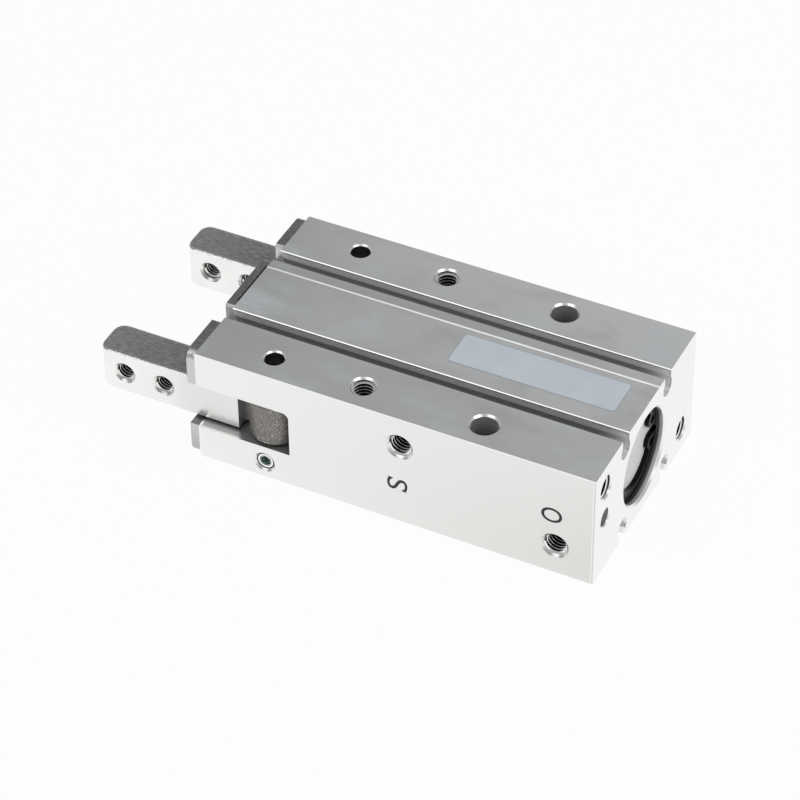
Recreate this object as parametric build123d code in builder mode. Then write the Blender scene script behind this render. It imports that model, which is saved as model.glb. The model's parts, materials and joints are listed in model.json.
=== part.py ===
from build123d import *
import math
import os

os.makedirs("parts", exist_ok=True)

# Pneumatic angular gripper with 20 mm bore, whose two fingers open by 90 degrees each.
# Millimetres. The origin is the centre of the rear mounting face, on the cylinder's axis.
# +X runs along the cylinder towards the fingers, +Z is up, and the air ports are on the +Y side.
# The model stands in its rest pose: both fingers are parallel and point forward.
# Near names the finger on the port side, far the other one.

# Outer block, a drawn aluminium bar
body_length = 87.6
body_width = 50.0
body_height = 27.1
body_edge = 0.25

# Cylinder, bored from the rear face
bore_dia = 20.0
bore_end = 43.5
cap_seat_dia = 20.5
cap_seat_end = 7.0
mouth_chamfer = 0.5
ring_groove_dia = 21.7

# Sensor grooves, two in the top face and two in the bottom face
groove_y = 10.4
groove_neck = 3.1
groove_bulb_dia = 4.2
groove_bulb_depth = 3.25
groove_lip = 0.15

# Slot for the fingers, open to the front and to both sides, and the pocket behind it
slot_height = 10.8
slot_rear = 66.7
slot_corner = 1.4
pocket_corner = 3.0

# Finger shafts, upright through the block
shaft_x = 72.6
shaft_inset = 6.0
shaft_dia = 4.0
shaft_top_depth = 3.6
shaft_bottom_depth = 1.5
shaft_edge = 0.3

# Finger travel in degrees from the parallel pose, outwards and inwards
open_angle = 90.0
closed_angle = 1.5

# Cam drive: how far the pins run inboard of the shafts, and how far behind them they rest
pin_offset = 8.2
pin_lead = 1.6
pin_dia = 2.4
roller_dia = 4.0
cam_wall = 1.2

# Fingers
finger_tip = 111.8
finger_inner_reach = 5.15
finger_outer_reach = 3.6
finger_height = 9.8
finger_edge = 0.25
pad_rear = 79.5
hub_dia = 11.2
neck_outer_reach = 0.6
neck_fillet = 1.1
tip_round = 2.5
tip_lower_round = 2.0
lever_height = 4.4
lever_web_rear = 4.6
lever_web_front = 2.6
finger_hole_x = 105.9
finger_hole_pitch = 9.1
finger_thread_dia = 4.0
finger_hole_chamfer = 0.5

# Crosshead between the piston rod and the pins
crosshead_height = 10.2
crosshead_block = 8.0
crosshead_reach = 10.6
crosshead_rim = 0.9
crosshead_bay = 10.0
crosshead_bay_round = 2.0

# Piston, rod and what they carry
rod_dia = 8.0
rod_spigot_dia = 6.0
rod_thread_length = 7.0
rod_edge = 0.4
nut_size = 10.0
nut_height = 3.2
nut_recess_dia = 12.6
nut_recess_depth = 3.6
piston_chamfer = 0.8
piston_seal_from_front = 3.2
piston_seal_width = 2.8
piston_seal_depth = 2.2
magnet_from_front = 8.4
magnet_width = 4.6
magnet_depth = 2.4
wear_ring_from_front = 15.4
wear_ring_width = 3.2
wear_ring_depth = 1.0
wear_ring_split = 0.6
seal_lip = 0.7

# Rod seal and the rubber stops at both ends of the cylinder
rod_seal_dia = 14.0
rod_seal_width = 3.0
bumper_thickness = 0.9
front_bumper_dia = 16.0
front_bumper_hole_dia = 9.0
rear_bumper_dia = 17.0
rear_bumper_hole_dia = 13.0

# Rear cap, its gasket and its retaining ring
ring_setback = 1.95
ring_thickness = 1.0
ring_inner_dia = 16.4
ring_inner_shift = 0.5
ring_lug_angle = 20.0
ring_lug_dia = 3.6
ring_lug_radius = 8.5
ring_lug_hole_dia = 1.9
ring_gap = 2.2
gasket_dia = 1.5
gasket_from_front = 2.0
cap_edge = 0.3

# End plate, with a notch in front of each sensor groove and of each finger
plate_thickness = 2.0
plate_corner = 2.5
plate_setback = 0.15
plate_tab_round = 0.7
plate_notch_inner_y = 8.2
plate_notch_outer_y = 13.4
plate_notch_below_bulb = 0.7
plate_finger_gap = 1.15
plate_screw_inset = 6.4
plate_screw_depth = 4.15
plate_screw_dia = 3.0
plate_screw_head_dia = 5.6
plate_screw_share = 0.4
plate_screw_socket = 2.0
plate_screw_sink = 0.1

# Fastening holes. Threaded holes are cut at the thread's outer diameter
thread_dia = 5.0
thread_chamfer = 0.4
top_thread_x = 52.75
top_thread_depth = 8.0
thread_pilot_dia = 4.2
through_x = 26.3
through_dia = 5.6
through_chamfer = 0.4
side_hole_inset = 6.0
rear_thread_inset = 5.5
rear_thread_from_top = 5.65
rear_thread_depth = 10.0
dowel_inset = 5.4
dowel_dia = 4.0
dowel_depth = 4.5
dowel_chamfer = 0.25
shaft_hole_chamfer = 0.3

# Air ports, placed along the block and from its mid-plane
open_port_x = 8.2
open_port_z = -6.3
close_port_x = 42.0
close_port_z = 6.4
port_depth = 6.0
port_chamfer = 0.55
passage_dia = 2.0

# Set screws that lock the shafts
set_screw_from_bottom = 4.05
set_screw_dia = 4.0
set_screw_recess = 0.5
set_screw_tip_dia = 1.6
set_screw_socket = 2.0
set_screw_socket_depth = 1.6
set_screw_chamfer = 0.42
shaft_groove_depth = 0.3

# Clearances
shaft_press = 0.05
shaft_running = 0.03
pin_running = 0.02
cam_running = 0.08
bore_running = 0.05
seal_running = 0.03
thread_play = 0.02
seat_play = 0.05
side_gap = 0.3
end_gap = 0.4
stop_gap = 0.05
roller_end_gap = 0.1

# How far a cutting shape runs on past the face that it opens
over = 1.0

# What follows from the sizes above: first the places that keep their distance from a face
# of the block or from a shaft
half_width = body_width / 2
half_height = body_height / 2
groove_bulb_z = half_height - groove_bulb_depth
shaft_y = half_width - shaft_inset
set_screw_z = set_screw_from_bottom - half_height
side_hole_y = half_width - side_hole_inset
rear_thread_y = half_width - rear_thread_inset
rear_thread_z = half_height - rear_thread_from_top
dowel_y = half_width - dowel_inset
finger_inner_y = shaft_y - finger_inner_reach
finger_outer_y = shaft_y + finger_outer_reach
neck_outer_y = shaft_y + neck_outer_reach
plate_notch_floor = groove_bulb_z - plate_notch_below_bulb
plate_finger_notch_y = finger_inner_y - plate_finger_gap
plate_screw_y = half_width - plate_screw_inset
plate_screw_z = half_height - plate_screw_depth

# The end plate's screws reach into a share of the wall between the front face and the shafts
plate_screw_length = plate_thickness + plate_screw_share * (body_length - shaft_x)

# The cylinder, the stroke and the cam drive
bore_radius = bore_dia / 2
seat_radius = cap_seat_dia / 2
stroke_open = pin_offset * math.radians(open_angle)
stroke_closed = pin_offset * math.radians(closed_angle)
pin_start = -pin_lead
pin_end = pin_start + stroke_open
pin_x = shaft_x + pin_start
pin_y = shaft_y - pin_offset
cam_half_width = roller_dia / 2 + cam_running
lever_half_width = cam_half_width + cam_wall
cheek_gap = lever_height + 2 * side_gap
crosshead_half_width = pin_y + pin_dia / 2 + crosshead_rim
crosshead_rear = pin_x - crosshead_reach - crosshead_block
crosshead_front = pin_x + pin_dia / 2 + crosshead_rim
pocket_rear = crosshead_rear - stroke_closed - end_gap
pocket_half_width = crosshead_half_width + side_gap
piston_rear = cap_seat_end + bumper_thickness + stop_gap + stroke_closed
piston_front = bore_end - bumper_thickness - stop_gap - stroke_open
piston_radius = bore_radius - bore_running
cap_rear = ring_setback + ring_thickness
plate_front = body_length + plate_thickness
plate_screw_spots = [
    (y, z) for y in (plate_screw_y, -plate_screw_y) for z in (plate_screw_z, -plate_screw_z)
]


def on_top(x, y):
    """Plane on the block's top face, facing up."""
    return Plane((x, y, half_height), z_dir=(0, 0, 1))


def on_bottom(x, y):
    """Plane on the block's bottom face, facing down."""
    return Plane((x, y, -half_height), z_dir=(0, 0, -1))


def on_side(x, z, side):
    """Plane on a side face of the block, facing out: side is 1 for near and -1 for far."""
    return Plane((x, side * half_width, z), z_dir=(0, side, 0))


def facing_rear(x, y=0.0, z=0.0):
    """Plane across the cylinder's axis that faces the rear."""
    return Plane((x, y, z), z_dir=(-1, 0, 0))


def facing_front(x, y=0.0, z=0.0):
    """Plane across the cylinder's axis that faces the fingers."""
    return Plane((x, y, z), z_dir=(1, 0, 0))


def ring_section(start, finish, inner_radius, outer_radius):
    """Sketch a rectangle beside the X axis, to be turned about it into a ring."""
    with Locations(((start + finish) / 2, (inner_radius + outer_radius) / 2)):
        Rectangle(finish - start, outer_radius - inner_radius)


def cam_point(pin_ahead, sideways):
    """Point of the near finger's cam, with the pin pin_ahead of the shaft along X.

    The pin runs straight along X, pin_offset inboard of the shaft, and the finger turns by
    the pin's travel divided by pin_offset. The pin's path, turned back by the finger's
    angle, is the cam's centre line: an involute of the circle with pin_offset as radius.
    Its walls are involutes of the same circle, sideways of the centre line along X.
    """
    turn = (pin_ahead - pin_start) / pin_offset
    along = pin_ahead + sideways
    return (
        shaft_x + along * math.cos(turn) - pin_offset * math.sin(turn),
        shaft_y - along * math.sin(turn) - pin_offset * math.cos(turn),
    )


def cam_band(half_band):
    """Sketch of the cam's centre line, widened by half_band to each side, with round ends."""
    steps = 8
    rear_span = pin_end - half_band
    front_side = [cam_point(pin_end * step / steps, half_band) for step in range(steps + 1)]
    rear_side = [
        cam_point(half_band + rear_span * step / steps, -half_band) for step in range(steps + 1)
    ]
    closed_end = cam_point(pin_start - stroke_closed, 0)
    with BuildSketch() as band:
        with BuildLine():
            front_wall = Spline(*front_side)
            rear_wall = Spline(*rear_side)
            Line(front_wall @ 0, rear_wall @ 0)
            Line(front_wall @ 1, rear_wall @ 1)
        make_face()
        with Locations(closed_end, cam_point(0, 0), cam_point(pin_end, 0)):
            Circle(half_band)
    return band.sketch


# Aluminium block: cylinder, finger slot, sensor grooves, fastening holes and air ports
with BuildPart() as body:
    with BuildSketch(Plane.YZ) as bar_section:
        bar = Rectangle(body_width, body_height)
        chamfer(bar.vertices(), body_edge)
        groove_height = half_height - groove_bulb_z + over
        neck_centre_z = groove_bulb_z + groove_height / 2
        for y in (groove_y, -groove_y):
            with Locations((y, groove_bulb_z), (y, -groove_bulb_z)):
                Circle(groove_bulb_dia / 2, mode=Mode.SUBTRACT)
            with Locations((y, neck_centre_z), (y, -neck_centre_z)):
                Rectangle(groove_neck, groove_height, mode=Mode.SUBTRACT)
        lips = [
            corner
            for corner in bar_section.vertices()
            if abs(abs(corner.Y) - half_height) < body_edge / 2
            and abs(corner.X) < groove_y + groove_neck
        ]
        chamfer(lips, groove_lip)
    extrude(amount=body_length)

    # Everything round the cylinder's axis, from its mouth to the rod's hole
    with BuildSketch(Plane.XY):
        with BuildLine():
            Polyline(
                (0, 0),
                (0, seat_radius + mouth_chamfer),
                (mouth_chamfer, seat_radius),
                (ring_setback - stop_gap, seat_radius),
                (ring_setback - stop_gap, ring_groove_dia / 2),
                (cap_rear + stop_gap, ring_groove_dia / 2),
                (cap_rear + stop_gap, seat_radius),
                (cap_seat_end, seat_radius),
                (cap_seat_end, bore_radius),
                (bore_end, bore_radius),
                (bore_end, rod_seal_dia / 2),
                (bore_end + rod_seal_width, rod_seal_dia / 2),
                (bore_end + rod_seal_width, rod_dia / 2 + bore_running),
                (pocket_rear + over, rod_dia / 2 + bore_running),
                (pocket_rear + over, 0),
                close=True,
            )
        make_face()
    revolve(axis=Axis.X, mode=Mode.SUBTRACT)

    # Finger slot from side to side. Only the upper corner of its rear end is rounded
    slot_length = body_length - slot_rear + over
    with BuildSketch(Plane.XZ.offset(-half_width - over)):
        with Locations((slot_rear + slot_length / 2, 0)):
            slot = Rectangle(slot_length, slot_height)
        fillet(slot.vertices().group_by(Axis.X)[0].sort_by(Axis.Y)[-1], slot_corner)
    extrude(amount=body_width + 2 * over, mode=Mode.SUBTRACT)

    # Pocket for the crosshead, behind the slot and opening into it
    pocket_length = slot_rear - pocket_rear + slot_corner
    with BuildSketch(Plane.XY.offset(-slot_height / 2)):
        with Locations((pocket_rear + pocket_length / 2, 0)):
            pocket = Rectangle(pocket_length, 2 * pocket_half_width)
        fillet(pocket.vertices().group_by(Axis.X)[0], pocket_corner)
    extrude(amount=slot_height, mode=Mode.SUBTRACT)

    # Fastening threads and through holes beside the cylinder, from above and from below.
    # The upper and the lower thread are tapped into one pilot hole through the block
    sides = (side_hole_y, -side_hole_y)
    thread_mouth = thread_dia / 2 + thread_chamfer
    with Locations(
        *[on_top(top_thread_x, y) for y in sides],
        *[on_bottom(top_thread_x, y) for y in sides],
    ):
        CounterSinkHole(thread_dia / 2, thread_mouth, top_thread_depth, 90)
        Hole(thread_pilot_dia / 2, body_height)
    with Locations(
        *[on_top(through_x, y) for y in sides],
        *[on_bottom(through_x, y) for y in sides],
    ):
        CounterSinkHole(through_dia / 2, through_dia / 2 + through_chamfer, body_height, 90)

    # Shaft holes, and the threads of the screws that lock the shafts from the sides
    shaft_hole_radius = shaft_dia / 2 + shaft_press
    shaft_mouth = shaft_hole_radius + shaft_hole_chamfer
    with Locations(
        *[on_top(shaft_x, y) for y in (shaft_y, -shaft_y)],
        *[on_bottom(shaft_x, y) for y in (shaft_y, -shaft_y)],
    ):
        CounterSinkHole(shaft_hole_radius, shaft_mouth, body_height, 90)
    screw_mouth = set_screw_dia / 2 + set_screw_chamfer
    with Locations(on_side(shaft_x, set_screw_z, 1), on_side(shaft_x, set_screw_z, -1)):
        CounterSinkHole(set_screw_dia / 2, screw_mouth, half_width - shaft_y, 90)

    # Rear face: two mounting threads on a diagonal, and one dowel hole
    with Locations(
        facing_rear(0, rear_thread_y, rear_thread_z),
        facing_rear(0, -rear_thread_y, -rear_thread_z),
    ):
        CounterSinkHole(thread_dia / 2, thread_mouth, rear_thread_depth, 90)
    with Locations(facing_rear(0, dowel_y, 0)):
        CounterSinkHole(dowel_dia / 2, dowel_dia / 2 + dowel_chamfer, dowel_depth, 90)

    # Air ports on the near side, each with a small passage into its end of the cylinder
    for port_x, port_z in ((open_port_x, open_port_z), (close_port_x, close_port_z)):
        bore_wall_y = math.sqrt(bore_radius**2 - port_z**2)
        with Locations(on_side(port_x, port_z, 1)):
            CounterSinkHole(thread_dia / 2, thread_dia / 2 + port_chamfer, port_depth, 90)
            Hole(passage_dia / 2, half_width - bore_wall_y + over)

    # Threads for the screws of the end plate
    with Locations(*[facing_front(body_length, y, z) for y, z in plate_screw_spots]):
        Hole(plate_screw_dia / 2, plate_screw_length - plate_thickness + over)


# End plate across the front, cut away for the sensor grooves and the fingers
with BuildPart() as end_plate:
    with BuildSketch(Plane.YZ.offset(body_length)) as plate_outline:
        plate = Rectangle(body_width - 2 * plate_setback, body_height)
        fillet(plate.vertices(), plate_corner)
        notch_width = plate_notch_outer_y - plate_notch_inner_y
        notch_y = plate_notch_inner_y + notch_width / 2
        notch_height = half_height - plate_notch_floor + over
        notch_z = plate_notch_floor + notch_height / 2
        with Locations((notch_y, notch_z), (notch_y, -notch_z)):
            Rectangle(notch_width, notch_height, mode=Mode.SUBTRACT)
        with Locations((-notch_y, notch_z), (-notch_y, -notch_z)):
            Rectangle(notch_width, notch_height, mode=Mode.SUBTRACT)
        finger_notch_width = half_width - plate_finger_notch_y + over
        finger_notch_y = plate_finger_notch_y + finger_notch_width / 2
        with Locations((finger_notch_y, 0), (-finger_notch_y, 0)):
            Rectangle(finger_notch_width, slot_height, mode=Mode.SUBTRACT)
        tab_corners = [
            corner
            for corner in plate_outline.vertices()
            if abs(abs(corner.Y) - half_height) < plate_tab_round
            and abs(corner.X) < plate_notch_outer_y + plate_tab_round
        ]
        fillet(tab_corners, plate_tab_round)
    extrude(amount=plate_thickness)
    with Locations(*[facing_front(plate_front, y, z) for y, z in plate_screw_spots]):
        CounterSinkHole(
            plate_screw_dia / 2 + thread_play,
            plate_screw_head_dia / 2 + plate_screw_sink,
            plate_thickness,
            90,
        )


# Four countersunk screws with a hexagon socket, just below the plate's face
with BuildPart() as end_plate_screws:
    screw_planes = [
        facing_front(plate_front - plate_screw_sink, y, z) for y, z in plate_screw_spots
    ]
    shank_radius = plate_screw_dia / 2 - thread_play
    head_radius = plate_screw_head_dia / 2 - thread_play
    head_height = head_radius - shank_radius
    below = (Align.CENTER, Align.CENTER, Align.MAX)
    with Locations(*screw_planes):
        Cylinder(shank_radius, plate_screw_length - plate_screw_sink, align=below)
        Cone(shank_radius, head_radius, head_height, align=below)
    with BuildSketch(*screw_planes):
        RegularPolygon(plate_screw_socket / 2, 6, major_radius=False)
    extrude(amount=-head_height, mode=Mode.SUBTRACT)


# Rear cap, a disc in its seat with a groove for the gasket
with BuildPart() as rear_cap:
    gasket_x = cap_seat_end - gasket_from_front
    gasket_half_groove = gasket_dia / 2 + seat_play
    with BuildSketch(Plane.XY):
        ring_section(cap_rear, cap_seat_end, 0, seat_radius - seat_play)
    revolve(axis=Axis.X)
    chamfer(rear_cap.edges().filter_by(GeomType.CIRCLE), cap_edge)
    with BuildSketch(Plane.XY):
        ring_section(
            gasket_x - gasket_half_groove,
            gasket_x + gasket_half_groove,
            seat_radius - gasket_dia - seat_play,
            seat_radius + over,
        )
    revolve(axis=Axis.X, mode=Mode.SUBTRACT)


# Round rubber gasket between the cap and its seat
with BuildPart() as cap_gasket:
    with Locations(facing_front(gasket_x)):
        Torus(seat_radius - gasket_dia / 2 - thread_play, gasket_dia / 2)


# Retaining ring: an open ring, narrower towards its two drilled lugs
with BuildPart() as retaining_ring:
    with BuildSketch(Plane.YZ.offset(ring_setback)):
        Circle(ring_groove_dia / 2 - seat_play)
        with Locations((-ring_inner_shift, 0)):
            Circle(ring_inner_dia / 2, mode=Mode.SUBTRACT)
        with PolarLocations(
            ring_lug_radius, 2, start_angle=180 - ring_lug_angle, angular_range=2 * ring_lug_angle,
            endpoint=True,
        ):
            Circle(ring_lug_dia / 2)
            Circle(ring_lug_hole_dia / 2, mode=Mode.SUBTRACT)
        with Locations((-ring_groove_dia / 2, 0)):
            Rectangle(ring_groove_dia - ring_inner_dia / 2, ring_gap, mode=Mode.SUBTRACT)
    extrude(amount=ring_thickness)


# Rubber stop on the inside of the cap, which the piston meets when the fingers are closed
with BuildPart() as rear_bumper:
    with BuildSketch(facing_front(cap_seat_end)):
        Circle(rear_bumper_dia / 2)
        Circle(rear_bumper_hole_dia / 2, mode=Mode.SUBTRACT)
    extrude(amount=bumper_thickness)


# Rubber stop at the front end of the cylinder, which also holds the rod seal in
with BuildPart() as front_bumper:
    with BuildSketch(facing_front(bore_end - bumper_thickness)):
        Circle(front_bumper_dia / 2)
        Circle(front_bumper_hole_dia / 2, mode=Mode.SUBTRACT)
    extrude(amount=bumper_thickness)


# Rod seal, with a lip groove on its pressure side
with BuildPart() as rod_seal:
    rod_seal_inner = rod_dia / 2 + seal_running
    rod_seal_outer = rod_seal_dia / 2 - thread_play
    rod_seal_middle = (rod_seal_inner + rod_seal_outer) / 2
    with BuildSketch(Plane.XY):
        ring_section(bore_end, bore_end + rod_seal_width, rod_seal_inner, rod_seal_outer)
        with Locations((bore_end, rod_seal_middle)):
            Rectangle(rod_seal_width, 2 * seal_lip, mode=Mode.SUBTRACT)
    revolve(axis=Axis.X)


# Finger shafts, with a groove each that takes the tip of the set screw
set_screw_seat = shaft_y + shaft_dia / 2 - shaft_groove_depth
set_screw_top = half_width - set_screw_recess
shaft_bottom = -half_height + shaft_bottom_depth
shaft_top = half_height - shaft_top_depth
shaft_groove_half = set_screw_tip_dia / 2 + shaft_groove_depth + seat_play


def make_shaft(side):
    """Turn the shaft of one finger: side is 1 for near and -1 for far."""
    radius = shaft_dia / 2
    floor = radius - shaft_groove_depth
    groove_low = set_screw_z - shaft_groove_half
    groove_high = set_screw_z + shaft_groove_half
    with BuildPart() as shaft:
        with BuildSketch(Plane((shaft_x, side * shaft_y, 0), x_dir=(1, 0, 0), z_dir=(0, -1, 0))):
            with BuildLine():
                Polyline(
                    (0, shaft_bottom),
                    (radius - shaft_edge, shaft_bottom),
                    (radius, shaft_bottom + shaft_edge),
                    (radius, groove_low),
                    (floor, groove_low),
                    (floor, groove_high),
                    (radius, groove_high),
                    (radius, shaft_top - shaft_edge),
                    (radius - shaft_edge, shaft_top),
                    (0, shaft_top),
                    close=True,
                )
            make_face()
        revolve(axis=Axis((shaft_x, side * shaft_y, 0), (0, 0, 1)))
    return shaft


shaft_near = make_shaft(1)
shaft_far = make_shaft(-1)


# Set screws with a hexagon socket and a short cone at the tip, one for each shaft
with BuildPart() as shaft_set_screws:
    set_screw_radius = set_screw_dia / 2 - thread_play
    set_screw_length = set_screw_top - set_screw_seat
    set_screw_tip_radius = set_screw_tip_dia / 2
    set_screw_cone = set_screw_radius - set_screw_tip_radius
    screw_heads = [
        Plane((shaft_x, side * set_screw_top, set_screw_z), z_dir=(0, side, 0))
        for side in (1, -1)
    ]
    with Locations(*screw_heads):
        Cylinder(
            set_screw_radius,
            set_screw_length - set_screw_cone,
            align=(Align.CENTER, Align.CENTER, Align.MAX),
        )
        with Locations((0, 0, set_screw_cone - set_screw_length)):
            Cone(
                set_screw_tip_radius,
                set_screw_radius,
                set_screw_cone,
                align=(Align.CENTER, Align.CENTER, Align.MAX),
            )
    with BuildSketch(*screw_heads):
        RegularPolygon(set_screw_socket / 2, 6, major_radius=False)
    extrude(amount=-set_screw_socket_depth, mode=Mode.SUBTRACT)


# Piston, with grooves for its seal, the magnet and the wear ring, and a recess for the nut
piston_grooves = {
    "seal": (piston_seal_from_front, piston_seal_width, piston_seal_depth),
    "magnet": (magnet_from_front, magnet_width, magnet_depth),
    "wear_ring": (wear_ring_from_front, wear_ring_width, wear_ring_depth),
}
with BuildPart() as piston:
    with BuildSketch(Plane.XY):
        ring_section(piston_rear, piston_front, 0, piston_radius)
    revolve(axis=Axis.X)
    chamfer(piston.edges().filter_by(GeomType.CIRCLE), piston_chamfer)
    with BuildSketch(Plane.XY):
        for from_front, width, depth in piston_grooves.values():
            groove_front = piston_front - from_front
            ring_section(
                groove_front - width, groove_front, piston_radius - depth, piston_radius + over
            )
    revolve(axis=Axis.X, mode=Mode.SUBTRACT)
    with Locations(facing_rear(piston_rear)):
        CounterBoreHole(
            rod_spigot_dia / 2 + thread_play, nut_recess_dia / 2, nut_recess_depth
        )


# Piston seal: a ring with two lips that run along the bore
with BuildPart() as piston_seal:
    seal_front = piston_front - piston_seal_from_front - seat_play
    seal_rear = seal_front - piston_seal_width + 2 * seat_play
    with BuildSketch(Plane.XY):
        ring_section(
            seal_rear,
            seal_front,
            piston_radius - piston_seal_depth + thread_play,
            bore_radius - seal_running,
        )
        with Locations(((seal_rear + seal_front) / 2, bore_radius - seal_running)):
            Rectangle(seal_lip, seal_lip, rotation=45, mode=Mode.SUBTRACT)
    revolve(axis=Axis.X)


# Magnet ring, which the sensors in the grooves of the block respond to
with BuildPart() as magnet_ring:
    magnet_front = piston_front - magnet_from_front - seat_play
    with BuildSketch(Plane.XY):
        ring_section(
            magnet_front - magnet_width + 2 * seat_play,
            magnet_front,
            piston_radius - magnet_depth + thread_play,
            piston_radius - side_gap,
        )
    revolve(axis=Axis.X)


# Wear ring that guides the piston, split so that it snaps into its groove
with BuildPart() as wear_ring:
    wear_front = piston_front - wear_ring_from_front - seat_play
    wear_rear = wear_front - wear_ring_width + 2 * seat_play
    with BuildSketch(Plane.XY):
        ring_section(
            wear_rear,
            wear_front,
            piston_radius - wear_ring_depth + thread_play,
            bore_radius - seal_running,
        )
    revolve(axis=Axis.X)
    with Locations(((wear_rear + wear_front) / 2, 0, bore_radius)):
        Box(wear_ring_width, wear_ring_split, 2 * (wear_ring_depth + over), mode=Mode.SUBTRACT)


# Piston rod, with a threaded spigot at each end
with BuildPart() as piston_rod:
    rod_rear = piston_rear + nut_recess_depth - nut_height
    rod_front = crosshead_rear + rod_thread_length
    spigot_radius = rod_spigot_dia / 2
    with BuildSketch(Plane.XY):
        with BuildLine():
            Polyline(
                (rod_rear, 0),
                (rod_rear, spigot_radius - rod_edge),
                (rod_rear + rod_edge, spigot_radius),
                (piston_front, spigot_radius),
                (piston_front, rod_dia / 2),
                (crosshead_rear, rod_dia / 2),
                (crosshead_rear, spigot_radius),
                (rod_front - rod_edge, spigot_radius),
                (rod_front, spigot_radius - rod_edge),
                (rod_front, 0),
                close=True,
            )
        make_face()
    revolve(axis=Axis.X)


# Thin nut that clamps the piston to the rod, sunk in the piston's recess
with BuildPart() as piston_nut:
    with BuildSketch(facing_rear(piston_rear + nut_recess_depth)):
        RegularPolygon(nut_size / 2, 6, major_radius=False)
        Circle(spigot_radius + thread_play, mode=Mode.SUBTRACT)
    extrude(amount=nut_height)


# Crosshead: a block on the rod with two cheeks, which hold the pins above and below
# the finger levers, and an open bay between the pins
with BuildPart() as crosshead:
    bay_rear = crosshead_rear + crosshead_block
    bay_length = crosshead_front - bay_rear + over
    with BuildSketch(Plane.XY.offset(-crosshead_height / 2)) as fork_outline:
        block_length = crosshead_front - crosshead_rear
        with Locations((crosshead_rear + block_length / 2, 0)):
            block = Rectangle(block_length, 2 * crosshead_half_width)
        fillet(block.vertices().group_by(Axis.X)[0], pocket_corner)
        with Locations((bay_rear + bay_length / 2, 0)):
            Rectangle(bay_length, crosshead_bay, mode=Mode.SUBTRACT)
        fillet(fork_outline.vertices().group_by(Axis.X)[-1], crosshead_rim)
        bay_corners = [
            corner for corner in fork_outline.vertices() if abs(corner.X - bay_rear) < stop_gap
        ]
        fillet(bay_corners, crosshead_bay_round)
    extrude(amount=crosshead_height)
    with Locations((bay_rear + bay_length / 2, 0, 0)):
        Box(bay_length, 2 * crosshead_half_width + over, cheek_gap, mode=Mode.SUBTRACT)
    with Locations((pin_x, pin_y, crosshead_height / 2), (pin_x, -pin_y, crosshead_height / 2)):
        Hole(pin_dia / 2 + thread_play)
    with Locations(facing_rear(crosshead_rear)):
        Hole(rod_spigot_dia / 2 + thread_play, rod_thread_length + rod_edge)


# Two hardened pins across the crosshead's cheeks
with BuildPart() as roller_pins:
    with Locations((pin_x, pin_y), (pin_x, -pin_y)):
        Cylinder(pin_dia / 2, crosshead_height)
    chamfer(roller_pins.edges().filter_by(GeomType.CIRCLE), shaft_edge)


def make_roller(side):
    """Turn the roller that runs in one finger's cam: side is 1 for near and -1 for far."""
    height = cheek_gap - 2 * roller_end_gap
    with BuildPart() as roller:
        with BuildSketch(Plane.XY.offset(-height / 2)):
            with Locations((pin_x, side * pin_y)):
                Circle(roller_dia / 2)
                Circle(pin_dia / 2 + pin_running, mode=Mode.SUBTRACT)
        extrude(amount=height)
    return roller


roller_near = make_roller(1)
roller_far = make_roller(-1)


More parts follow.
